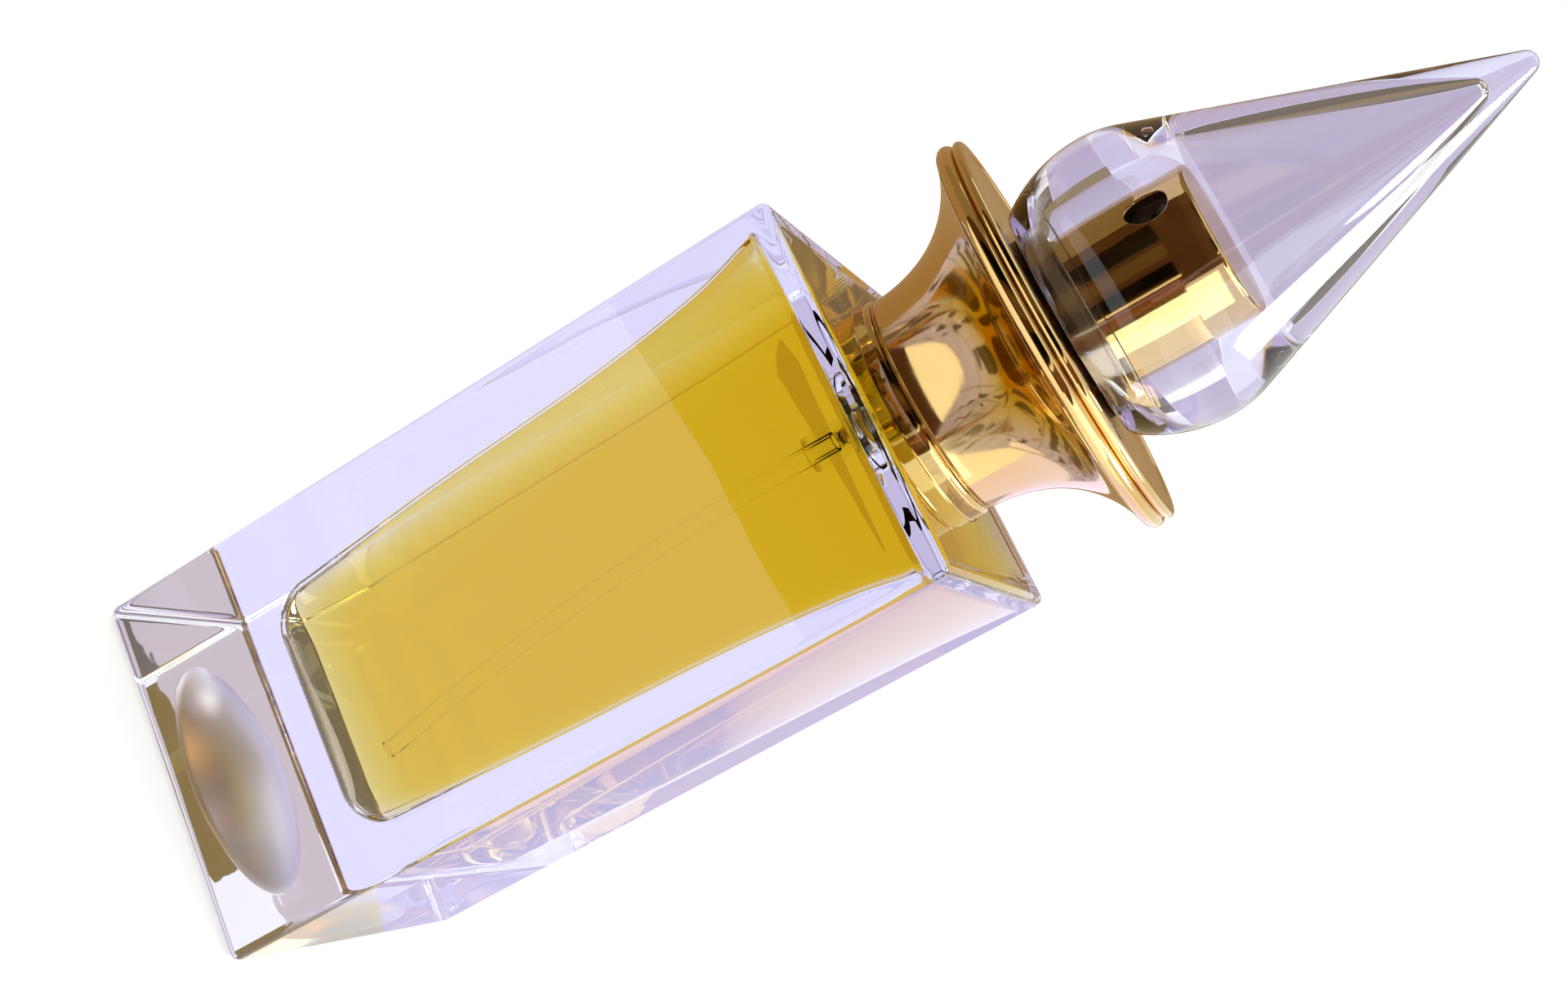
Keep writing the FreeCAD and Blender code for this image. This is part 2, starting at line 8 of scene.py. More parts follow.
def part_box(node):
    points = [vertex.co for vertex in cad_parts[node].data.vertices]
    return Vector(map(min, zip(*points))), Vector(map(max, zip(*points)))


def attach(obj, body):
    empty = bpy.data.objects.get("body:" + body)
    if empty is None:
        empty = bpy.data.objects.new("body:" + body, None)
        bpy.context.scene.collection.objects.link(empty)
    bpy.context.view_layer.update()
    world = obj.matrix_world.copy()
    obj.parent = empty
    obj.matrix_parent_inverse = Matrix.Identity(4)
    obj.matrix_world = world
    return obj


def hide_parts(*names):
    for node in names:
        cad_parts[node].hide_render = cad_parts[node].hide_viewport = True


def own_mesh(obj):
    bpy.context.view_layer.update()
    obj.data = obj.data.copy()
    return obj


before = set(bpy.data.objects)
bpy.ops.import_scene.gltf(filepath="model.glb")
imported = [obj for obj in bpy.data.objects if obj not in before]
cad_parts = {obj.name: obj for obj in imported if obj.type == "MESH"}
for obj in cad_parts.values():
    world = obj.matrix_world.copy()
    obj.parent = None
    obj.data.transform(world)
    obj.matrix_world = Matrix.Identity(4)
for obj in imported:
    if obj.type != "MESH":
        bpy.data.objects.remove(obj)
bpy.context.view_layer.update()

MM = 0.001
TURNS = 224                      # steps round a lathed piece
SMALL_TURNS = 96                 # steps round a small or plain one


# ---------------------------------------------------------------- places read from the frame

def top_of(node):
    """Height of a node's top."""
    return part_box(node)[1].z


def bottom_of(node):
    """Height of a node's underside."""
    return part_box(node)[0].z


def radius_of(node):
    """Largest half width of a node across X."""
    low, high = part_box(node)
    return (high.x - low.x) / 2


BODY_HALF = radius_of("glass_bottle")
LIP_TOP = top_of("glass_bottle")
BODY_TOP = bottom_of("collar_shell")
BODY_EDGE = 0.9 * MM
HOLLOW_TOP = top_of("perfume")
HOLLOW_FLOOR = bottom_of("perfume")
RIM_RADIUS = radius_of("collar_shell")
RIM_TOP = top_of("collar_shell")
PLATE_TOP = top_of("collar_top_plate")
PLATE_RADIUS = radius_of("collar_top_plate")
RING_RADIUS = radius_of("collar_ring")
RING_TOP = top_of("collar_ring")
BUTTON_RADIUS = radius_of("button_sleeve")
BUTTON_TOP = top_of("button_sleeve")
BUTTON_LOW = bottom_of("button_sleeve")
CAP_LOW = bottom_of("cap_shell")
CAP_WIDEST = radius_of("cap_shell")
CAP_BORE = radius_of("cap_liner")

# Hollow of the body: height, half width, corner radius
HOLLOW = (
    (HOLLOW_FLOOR, 13.0 * MM, 5.4 * MM),
    (HOLLOW_FLOOR + 22.0 * MM, 14.1 * MM, 3.6 * MM),
    (HOLLOW_FLOOR + 42.0 * MM, 14.9 * MM, 3.0 * MM),
    (HOLLOW_FLOOR + 55.0 * MM, 16.1 * MM, 2.8 * MM),
    (HOLLOW_TOP, 17.7 * MM, 2.4 * MM),
)
FLOOR_ROUND = 5.0 * MM
NECK_BORE = 5.25 * MM
NECK_FILLET = 0.6 * MM           # where the bore opens into the hollow
NECK_RADIUS = 6.6 * MM
LIP_RADIUS = 7.5 * MM
LIP_HEIGHT = 2.6 * MM
PUNT_RADIUS = 12.9 * MM
PUNT_DEPTH = 3.2 * MM


# ---------------------------------------------------------------- mesh tools

def new_object(name, verts, faces, smooth=True):
    """Object from points and faces, with its normals turned outwards."""
    mesh = bpy.data.meshes.new(name)
    mesh.from_pydata(verts, [], faces)
    builder = bmesh.new()
    builder.from_mesh(mesh)
    bmesh.ops.recalc_face_normals(builder, faces=builder.faces)
    builder.to_mesh(mesh)
    builder.free()
    for face in mesh.polygons:
        face.use_smooth = smooth
    obj = bpy.data.objects.new(name, mesh)
    bpy.context.scene.collection.objects.link(obj)
    return obj


def skin(name, rings, close=False):
    """Closed surface through rings of points. A ring of one point is a pole; close joins last to first."""
    verts = []
    starts = []
    for ring in rings:
        starts.append(len(verts))
        verts.extend(ring)
    faces = []
    pairs = list(zip(range(len(rings) - 1), range(1, len(rings))))
    if close:
        pairs.append((len(rings) - 1, 0))
    for low, high in pairs:
        count = max(len(rings[low]), len(rings[high]))
        for step in range(count):
            after = (step + 1) % count
            corners = []
            for ring, places in ((low, (step, after)), (high, (after, step))):
                if len(rings[ring]) == 1:
                    corners.append(starts[ring])
                else:
                    corners.extend(starts[ring] + place for place in places)
            faces.append(corners)
    return new_object(name, verts, faces)


def circle(radius, height, count=TURNS, shift=0.0):
    """Ring of points round the axis, or one point on it."""
    if radius < 1e-7:
        return [Vector((0, 0, height))]
    turn = 2 * math.pi / count
    return [
        Vector((radius * math.cos(turn * i + shift), radius * math.sin(turn * i + shift), height))
        for i in range(count)
    ]


def arc(centre, radius, start, end, steps):
    """Points (r, z) along an arc, angles in degrees from the outward direction."""
    points = []
    for i in range(steps + 1):
        angle = math.radians(start + (end - start) * i / steps)
        points.append((centre[0] + radius * math.cos(angle), centre[1] + radius * math.sin(angle)))
    return points


def softened(corners, steps=6):
    """Outline with its corners rounded. A corner is (r, z) or (r, z, radius)."""
    points = []
    count = len(corners)
    for i, corner in enumerate(corners):
        here = Vector(corner[:2])
        round_radius = corner[2] if len(corner) > 2 else 0
        if round_radius <= 0:
            points.append(tuple(here))
            continue
        before = (Vector(corners[i - 1][:2]) - here).normalized()
        after = (Vector(corners[(i + 1) % count][:2]) - here).normalized()
        half_turn = before.angle(after) / 2
        reach = round_radius / math.tan(half_turn)
        centre = here + (before + after).normalized() * (round_radius / math.sin(half_turn))
        first = here + before * reach - centre
        start = math.atan2(first.y, first.x)
        sweep = math.pi - 2 * half_turn
        if before.x * after.y - before.y * after.x > 0:
            sweep = -sweep
        guard = round_radius * 0.3
        points.append(tuple(here + before * (reach + guard)))
        for k in range(steps + 1):
            angle = start + sweep * k / steps
            turned = Vector((math.cos(angle), math.sin(angle))) * round_radius
            points.append(tuple(centre + turned))
        points.append(tuple(here + after * (reach + guard)))
    return points


def lathe(name, outline, count=TURNS):
    """Solid of revolution from a closed outline of (r, z) points."""
    rings = [circle(r, z, count) for r, z in outline]
    on_axis = len(rings[0]) == 1 and len(rings[-1]) == 1
    return skin(name, rings, close=not on_axis)


def square_ring(half, corner, height, side_marks, corner_steps):
    """Ring of points on a square with rounded corners; side_marks are fractions along each flat side."""
    flat = half - corner
    points = []
    for turn in range(4):
        spin = Matrix.Rotation(math.pi / 2 * turn, 3, "Z")
        for mark in side_marks:
            points.append(spin @ Vector((half, flat * (2 * mark - 1), height)))
        for k in range(corner_steps + 1):
            angle = math.pi / 2 * k / corner_steps
            place = Vector((flat + corner * math.cos(angle), flat + corner * math.sin(angle), height))
            points.append(spin @ place)
    return points


SIDE_MARKS = (0.006, 0.03, 0.1, 0.2, 0.3, 0.4, 0.5, 0.6, 0.7, 0.8, 0.9, 0.97, 0.994)
CORNER_STEPS = 10


def body_square(half, corner, height):
    """Rounded square ring with the bottle's own spacing of points."""
    return square_ring(half, corner, height, SIDE_MARKS, CORNER_STEPS)


def body_circle(radius, height):
    """Circle with as many points as a body_square, each in the direction of its partner."""
    guide = square_ring(1.0, 0.35, 0, SIDE_MARKS, CORNER_STEPS)
    points = []
    for place in guide:
        points.append(Vector((place.x, place.y, 0)).normalized() * radius + Vector((0, 0, height)))
    return points


def smooth_value(table, column, height):
    """Value of a table's column at a height, on a Catmull-Rom curve through its rows."""
    last = len(table) - 1
    row = 0
    while row < last - 1 and height > table[row + 1][0]:
        row += 1
    low, high = table[row], table[row + 1]
    before = table[max(row - 1, 0)]
    after = table[min(row + 2, last)]
    span = high[0] - low[0]
    t = (height - low[0]) / span
    slope_low = (high[column] - before[column]) / (high[0] - before[0]) * span
    slope_high = (after[column] - low[column]) / (after[0] - low[0]) * span
    a = 2 * low[column] - 2 * high[column] + slope_low + slope_high
    b = -3 * low[column] + 3 * high[column] - 2 * slope_low - slope_high
    return ((a * t + b) * t + slope_low) * t + low[column]


def hollow_rings(grow=0.0, shoulder_round=0.6 * MM):
    """Rings of the bottle's hollow from its shoulder down to the floor, grown by a small distance."""
    rings = []
    top_half = HOLLOW[-1][1] + grow
    top_corner = HOLLOW[-1][2]
    top = HOLLOW_TOP + grow
    rings.append(body_square(top_half - 3 * shoulder_round, top_corner, top))
    for k in range(6):
        angle = math.pi / 2 * k / 5
        inset = shoulder_round * (1 - math.sin(angle))
        drop = shoulder_round * (1 - math.cos(angle))
        rings.append(body_square(top_half - inset, top_corner - inset / 2, top - drop))
    levels = 40
    low = HOLLOW_FLOOR + FLOOR_ROUND
    high = HOLLOW_TOP - 1.3 * shoulder_round
    for k in range(levels + 1):
        height = high + (low - high) * k / levels
        half = smooth_value(HOLLOW, 1, height) + grow
        rings.append(body_square(half, smooth_value(HOLLOW, 2, height), height))
    low_half = smooth_value(HOLLOW, 1, low)
    low_corner = smooth_value(HOLLOW, 2, low)
    for k in range(1, 11):
        angle = math.pi / 2 * k / 10
        inset = FLOOR_ROUND * (1 - math.cos(angle))
        height = low - FLOOR_ROUND * math.sin(angle) - grow
        rings.append(body_square(low_half - inset + grow, max(low_corner - inset, 0.5 * MM), height))
    floor_half = low_half - FLOOR_ROUND
    for share in (0.97, 0.6, 0.25):
        rings.append(body_square(floor_half * share, 0.5 * MM * share, HOLLOW_FLOOR - grow))
    rings.append([Vector((0, 0, HOLLOW_FLOOR - grow))])
    return rings


# ---------------------------------------------------------------- material tools

def surface(name, colour, **sockets):
    """Material with one Principled shader; a socket is named in lower case with underscores."""
    material = bpy.data.materials.new(name)
    material.use_nodes = True
    shader = material.node_tree.nodes["Principled BSDF"]
    shader.inputs["Base Color"].default_value = (*colour, 1)
    for socket in shader.inputs:
        key = socket.name.lower().replace(" ", "_")
        if key in sockets:
            socket.default_value = sockets[key]
    return material


def node(material, kind, **settings):
    """New node in a material, with its settings and unlinked inputs given by name."""
    made = material.node_tree.nodes.new(kind)
    for key, value in settings.items():
        if key in made.inputs:
            made.inputs[key].default_value = value
        else:
            setattr(made, key, value)
    return made


def join(material, source, target):
    """Link two sockets."""
    material.node_tree.links.new(source, target)


def shader_of(material):
    """The material's Principled shader."""
    return material.node_tree.nodes["Principled BSDF"]


def noise(material, scale, detail, stretch=(1, 1, 1)):
    """Noise value in the piece's own coordinates, in metres, stretched along an axis if asked."""
    place = node(material, "ShaderNodeTexCoord")
    mapping = node(material, "ShaderNodeMapping")
    mapping.inputs["Scale"].default_value = stretch
    cloud = node(material, "ShaderNodeTexNoise", Scale=scale, Detail=detail)
    join(material, place.outputs["Object"], mapping.inputs["Vector"])
    join(material, mapping.outputs["Vector"], cloud.inputs["Vector"])
    return cloud.outputs["Fac"]


def remap(material, value, low, high):
    """Value from 0..1 turned into low..high."""
    mapper = node(material, "ShaderNodeMapRange")
    mapper.inputs["To Min"].default_value = low
    mapper.inputs["To Max"].default_value = high
    join(material, value, mapper.inputs["Value"])
    return mapper.outputs["Result"]


def bump(material, value, depth, strength):
    """Relief on the surface from a value, depth in metres."""
    relief = node(material, "ShaderNodeBump", Strength=strength, Distance=depth)
    join(material, value, relief.inputs["Height"])
    join(material, relief.outputs["Normal"], shader_of(material).inputs["Normal"])


def roughen(material, value, low, high):
    """Roughness that runs from low to high with a value."""
    join(material, remap(material, value, low, high), shader_of(material).inputs["Roughness"])


def tint(material, value, dark, light):
    """Base colour that runs from dark to light with a value."""
    mixer = node(material, "ShaderNodeMix", data_type="RGBA")
    mixer.inputs[6].default_value = (*dark, 1)
    mixer.inputs[7].default_value = (*light, 1)
    join(material, value, mixer.inputs[0])
    join(material, mixer.outputs[2], shader_of(material).inputs["Base Color"])


def absorb(material, colour, density):
    """Uniform absorption inside a clear piece; density is per metre."""
    volume = node(material, "ShaderNodeVolumeAbsorption", Density=density)
    volume.inputs["Color"].default_value = (*colour, 1)
    output = material.node_tree.nodes["Material Output"]
    join(material, volume.outputs["Volume"], output.inputs["Volume"])


def dress(obj, *materials):
    """Give an object its materials in slot order."""
    obj.data.materials.clear()
    for material in materials:
        obj.data.materials.append(material)


# ---------------------------------------------------------------- materials

GLASS_IOR = 1.5
LIQUID_IOR = 1.36
ACRYLIC_IOR = 1.49
TUBE_TO_LIQUID = 1.08            # index of the dip tube over that of the perfume
PUMP_TO_LIQUID = 1.03            # index of the pump body over that of the perfume

PUNT_STIPPLE = 0.34              # roughness added in the punt

# Colour and density per metre of the absorption inside each clear piece
GLASS_TINT = ((0.70, 0.66, 0.93), 9.0)
LIQUID_TINT = ((0.969, 0.870, 0.03), 135.0)
ACRYLIC_TINT = ((0.72, 0.66, 0.90), 16.0)


def inside_disc(material, radius, height):
    """1 inside an upright cylinder round the axis, below a height, and 0 elsewhere."""
    place = node(material, "ShaderNodeTexCoord")
    flat = node(material, "ShaderNodeVectorMath", operation="MULTIPLY")
    flat.inputs[1].default_value = (1, 1, 0)
    reach = node(material, "ShaderNodeVectorMath", operation="LENGTH")
    near = node(material, "ShaderNodeMath", operation="LESS_THAN")
    near.inputs[1].default_value = radius
    split = node(material, "ShaderNodeSeparateXYZ")
    under = node(material, "ShaderNodeMath", operation="LESS_THAN")
    under.inputs[1].default_value = height
    both = node(material, "ShaderNodeMath", operation="MULTIPLY")
    join(material, place.outputs["Object"], flat.inputs[0])
    join(material, flat.outputs[0], reach.inputs[0])
    join(material, reach.outputs["Value"], near.inputs[0])
    join(material, place.outputs["Object"], split.inputs[0])
    join(material, split.outputs["Z"], under.inputs[0])
    join(material, near.outputs[0], both.inputs[0])
    join(material, under.outputs[0], both.inputs[1])
    return both.outputs[0]


def clear_glass():
    """Polished cast glass, faintly lavender, with a slow waviness and a stippled punt."""
    material = surface("glass_air_side", (1, 1, 1), roughness=0.0, ior=GLASS_IOR, transmission_weight=1.0)
    bump(material, noise(material, scale=90, detail=2), depth=0.00004, strength=0.5)
    polish = remap(material, noise(material, scale=350, detail=4), 0.0, 0.02)
    stipple = remap(material, inside_disc(material, PUNT_RADIUS, PUNT_DEPTH + 0.1 * MM), 0.0, PUNT_STIPPLE)
    total = node(material, "ShaderNodeMath", operation="ADD")
    join(material, polish, total.inputs[0])
    join(material, stipple, total.inputs[1])
    join(material, total.outputs[0], shader_of(material).inputs["Roughness"])
    absorb(material, *GLASS_TINT)
    return material


def wet_glass():
    """Inside of the hollow, wetted by the perfume: it bends light only by the two indices' ratio."""
    ratio = GLASS_IOR / LIQUID_IOR
    material = surface("glass_wet_side", (1, 1, 1), roughness=0.0, ior=ratio, transmission_weight=1.0)
    bump(material, noise(material, scale=90, detail=2), depth=0.00004, strength=0.3)
    return material


def golden_liquid():
    """Clear golden perfume. Its edge doesn't bend light, because the wet glass wall does so already."""
    material = surface("perfume_liquid", (1, 1, 1), roughness=0.0, ior=1.0, transmission_weight=1.0)
    cloud = noise(material, scale=60, detail=2, stretch=(1, 1, 0.3))
    tint(material, cloud, (1.0, 0.985, 0.92), (1.0, 1.0, 1.0))
    absorb(material, *LIQUID_TINT)
    return material


def clear_tube():
    """Clear plastic of the dip tube, nearly the same index as the perfume round it."""
    material = surface(
        "clear_tube", (1, 1, 1), roughness=0.02, ior=TUBE_TO_LIQUID, transmission_weight=1.0
    )
    bump(material, noise(material, scale=300, detail=3, stretch=(1, 1, 0.1)), depth=0.00002, strength=0.4)
    return material


def frosted_tube():
    """Natural plastic of the pump body: nearly clear, with a fine moulded grain."""
    material = surface("pump_plastic", (1, 1, 0.97), ior=PUMP_TO_LIQUID, transmission_weight=0.96)
    grain = noise(material, scale=1200, detail=3)
    roughen(material, grain, 0.06, 0.16)
    bump(material, grain, depth=0.00001, strength=0.3)
    return material


def clear_acrylic(name):
    """Polished clear cap plastic, a little more lavender than the glass."""
    material = surface(name, (1, 1, 1), ior=ACRYLIC_IOR, transmission_weight=1.0)
    bump(material, noise(material, scale=70, detail=2), depth=0.00004, strength=0.4)
    roughen(material, noise(material, scale=300, detail=4), 0.0, 0.03)
    absorb(material, *ACRYLIC_TINT)
    return material


def mirror_gold(name, rough=0.07, deep=(0.62, 0.40, 0.13), pale=(0.80, 0.56, 0.24)):
    """Bright gold plating with faint orange peel, handling haze and small colour drift."""
    material = surface(name, pale, metallic=1.0)
    tint(material, remap(material, noise(material, scale=110, detail=4), 0.25, 1.1), deep, pale)
    roughen(material, noise(material, scale=420, detail=5), rough * 0.5, rough * 1.7)
    bump(material, noise(material, scale=240, detail=3), depth=0.00003, strength=0.35)
    return material


def drawn_metal(name, colour, rough):
    """Plain metal with drawing lines round the axis."""
    material = surface(name, colour, metallic=1.0)
    lines = noise(material, scale=900, detail=3, stretch=(0.1, 0.1, 3))
    roughen(material, lines, rough * 0.7, rough * 1.4)
    bump(material, lines, depth=0.00002, strength=0.5)
    return material


def moulded(name, colour, rough):
    """Moulded plastic with a fine grain and slow colour drift."""
    material = surface(name, colour)
    grain = noise(material, scale=1600, detail=3)
    dark = tuple(channel * 0.88 for channel in colour)
    tint(material, noise(material, scale=200, detail=2), dark, colour)
    roughen(material, grain, rough * 0.8, rough * 1.25)
    bump(material, grain, depth=0.00001, strength=0.4)
    return material


# ---------------------------------------------------------------- pieces

def make_bottle():
    """Square glass body with rounded edges, punt, neck and hollow, as one closed skin."""
    edge_steps = 6
    rings = [[Vector((0, 0, PUNT_DEPTH))]]
    sphere = (PUNT_RADIUS ** 2 + PUNT_DEPTH ** 2) / (2 * PUNT_DEPTH)
    for k in range(1, 17):
        radius = PUNT_RADIUS * k / 16
        rings.append(body_circle(radius, PUNT_DEPTH - sphere + math.sqrt(sphere ** 2 - radius ** 2)))
    lip = 0.35 * MM
    rings.append(body_circle(PUNT_RADIUS + 0.3 * lip, 0.0))
    rings.append(body_circle(PUNT_RADIUS + lip, 0.0))
    thin = 0.08 * MM
    inner = BODY_HALF - BODY_EDGE
    rings.append(body_square(inner - 0.3 * BODY_EDGE, thin, 0.0))
    for k in range(edge_steps + 1):
        angle = math.pi / 2 * k / edge_steps
        reach = BODY_EDGE * math.sin(angle)
        rings.append(body_square(inner + reach, max(reach, thin), BODY_EDGE * (1 - math.cos(angle))))
    for share in (0.006, 0.05, 0.2, 0.4, 0.6, 0.8, 0.95, 0.994):
        rings.append(body_square(BODY_HALF, BODY_EDGE, BODY_EDGE + (BODY_TOP - 2 * BODY_EDGE) * share))
    for k in range(edge_steps + 1):
        angle = math.pi / 2 * k / edge_steps
        reach = BODY_EDGE * math.cos(angle)
        drop = BODY_EDGE * (1 - math.sin(angle))
        rings.append(body_square(inner + reach, max(reach, thin), BODY_TOP - drop))
    rings.append(body_square(inner - 0.3 * BODY_EDGE, thin, BODY_TOP))
    lip_low = LIP_TOP - LIP_HEIGHT
    neck = softened([
        (NECK_RADIUS + 2 * MM, BODY_TOP),
        (NECK_RADIUS, BODY_TOP, 0.5 * MM),
        (NECK_RADIUS, lip_low - (LIP_RADIUS - NECK_RADIUS), 0.3 * MM),
        (LIP_RADIUS, lip_low, 0.3 * MM),
        (LIP_RADIUS, LIP_TOP, 0.5 * MM),
        (NECK_BORE, LIP_TOP, 0.4 * MM),
        (NECK_BORE, HOLLOW_TOP + 2 * NECK_FILLET),
    ])
    rings.extend(body_circle(r, z) for r, z in neck)
    wet_start = len(rings)
    rings.append(body_circle(NECK_BORE, HOLLOW_TOP + 1.5 * NECK_FILLET))
    for r, z in arc((NECK_BORE + NECK_FILLET, HOLLOW_TOP + NECK_FILLET), NECK_FILLET, 180, 270, 5):
        rings.append(body_circle(r, z))
    rings.append(body_circle(NECK_BORE + 1.0 * MM, HOLLOW_TOP))
    rings.extend(hollow_rings())
    bottle = skin("bottle_glass", rings)
    per_ring = len(rings[1])
    first_wet_face = per_ring * wet_start
    dress(bottle, clear_glass(), wet_glass())
    for index, face in enumerate(bottle.data.polygons):
        if index >= first_wet_face:
            face.material_index = 1
    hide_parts("glass_bottle")
    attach(bottle, "bottle")


def make_perfume():
    """The liquid, a hair inside the glass wall, up to the foot of the neck."""
    shrink = -0.02 * MM
    rings = [
        [Vector((0, 0, HOLLOW_TOP + shrink))],
        body_circle(NECK_BORE, HOLLOW_TOP + shrink),
    ]
    rings.extend(hollow_rings(shrink))
    liquid = skin("golden_perfume", rings)
    dress(liquid, golden_liquid())
    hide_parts("perfume")
    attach(liquid, "bottle")


def flare_points(steps):
    """Outside of the collar's trumpet from throat to rim: two tangent arcs."""
    throat, low_radius, low_angle = 11.4 * MM, 14.9 * MM, 21.6
    top_radius, top_angle = 11.1 * MM, 104.5
    foot_top = BODY_TOP + 2.1 * MM
    low_centre = (throat + low_radius, foot_top)
    low = arc(low_centre, low_radius, 180, 180 - low_angle, steps)
    meet = low[-1]
    turn = math.radians(low_angle)
    top_centre = (meet[0] + top_radius * math.cos(turn), meet[1] - top_radius * math.sin(turn))
    top = arc(top_centre, top_radius, 180 - low_angle, top_angle, steps * 2)
    return low + top[1:]


def make_collar():
    """Gold trumpet with its foot bead, groove and rounded rim, hollow inside."""
    wall = 0.8 * MM
    flare = flare_points(20)
    throat = flare[0][0]
    foot_radius = throat + 0.2 * MM
    foot_top = BODY_TOP + 1.9 * MM
    under = flare[-1]
    rim_mid = (under[1] + RIM_TOP) / 2
    rim_half = (RIM_TOP - under[1]) / 2
    outline = []
    outline.extend(softened([
        (throat + wall, BODY_TOP),
        (foot_radius, BODY_TOP, 0.15 * MM),
        (foot_radius, foot_top, 0.55 * MM),
        (throat - 0.15 * MM, foot_top, 0.05 * MM),
        (throat - 0.15 * MM, flare[0][1] - 0.02 * MM),
    ])[1:])
    outline.extend(flare)
    outline.extend(arc((RIM_RADIUS - rim_half, rim_mid), rim_half, -86, 86, 16))
    outline.append((RIM_RADIUS - rim_half - 0.2 * MM, RIM_TOP))
    outline.append((under[0] - 0.7 * MM, RIM_TOP))
    inner = []
    for index, (r, z) in enumerate(flare):
        ahead = flare[min(index + 1, len(flare) - 1)]
        behind = flare[max(index - 1, 0)]
        run = Vector((ahead[0] - behind[0], ahead[1] - behind[1])).normalized()
        inner.append((r - run.y * wall, z + run.x * wall))
    outline.extend(reversed(inner[:-2]))
    outline.append((throat - wall, BODY_TOP))
    collar = lathe("gold_collar", outline)
    dress(collar, mirror_gold("collar_gold"))
    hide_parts("collar_shell")
    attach(collar, "bottle")


def make_plate():
    """Gold disc that closes the collar, with a fine step inside its rounded edge."""
    mid = (RIM_TOP + PLATE_TOP) / 2
    half = (PLATE_TOP - RIM_TOP) / 2
    bead = 1.6 * MM
    outline = [(RING_RADIUS, RIM_TOP)]
    outline.extend(arc((PLATE_RADIUS - half, mid), half, -88, 88, 14))
    outline.extend(softened([
        (PLATE_RADIUS - half - 0.1 * MM, PLATE_TOP),
        (PLATE_RADIUS - bead, PLATE_TOP, 0.08 * MM),
        (PLATE_RADIUS - bead - 0.12 * MM, PLATE_TOP - 0.1 * MM, 0.05 * MM),
        (RING_RADIUS + 0.15 * MM, PLATE_TOP - 0.1 * MM),
    ], 3))
    outline.append((RING_RADIUS, PLATE_TOP - 0.15 * MM))
    plate = lathe("gold_collar_plate", outline)
    dress(plate, mirror_gold("plate_gold"))
    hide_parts("collar_top_plate")
    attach(plate, "bottle")


def make_ring():
    """Gold ring that the cap grips, with a thin turned line near its top."""
    low = bottom_of("collar_ring")
    bore = 8.9 * MM
    well = 8.35 * MM
    outline = softened([
        (bore, low),
        (RING_RADIUS, low),
        (RING_RADIUS, RING_TOP - 0.62 * MM, 0.03 * MM),
        (RING_RADIUS - 0.07 * MM, RING_TOP - 0.56 * MM, 0.03 * MM),
        (RING_RADIUS - 0.07 * MM, RING_TOP - 0.48 * MM, 0.03 * MM),
        (RING_RADIUS, RING_TOP - 0.42 * MM, 0.03 * MM),
        (RING_RADIUS, RING_TOP, 0.2 * MM),
        (well, RING_TOP, 0.1 * MM),
        (well, RING_TOP - 0.4 * MM),
        (bore, RING_TOP - 0.4 * MM),
    ], 4)
    ring = lathe("gold_grip_ring", outline)
    gold = mirror_gold("ring_gold", rough=0.16, deep=(0.34, 0.23, 0.13), pale=(0.46, 0.33, 0.20))
    dress(ring, gold)
    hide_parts("collar_ring")
    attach(ring, "bottle")


SPRAY_TURN = math.radians(-26.6)
SPRAY_HOLE = 1.6 * MM
SPRAY_HEIGHT = (top_of("nozzle_insert") + bottom_of("nozzle_insert")) / 2
SPRAY_AIM = Vector((math.sin(SPRAY_TURN), -math.cos(SPRAY_TURN), 0))
BUTTON_WALL = 0.6 * MM
HOLE_WINDOW = 2.8 * MM


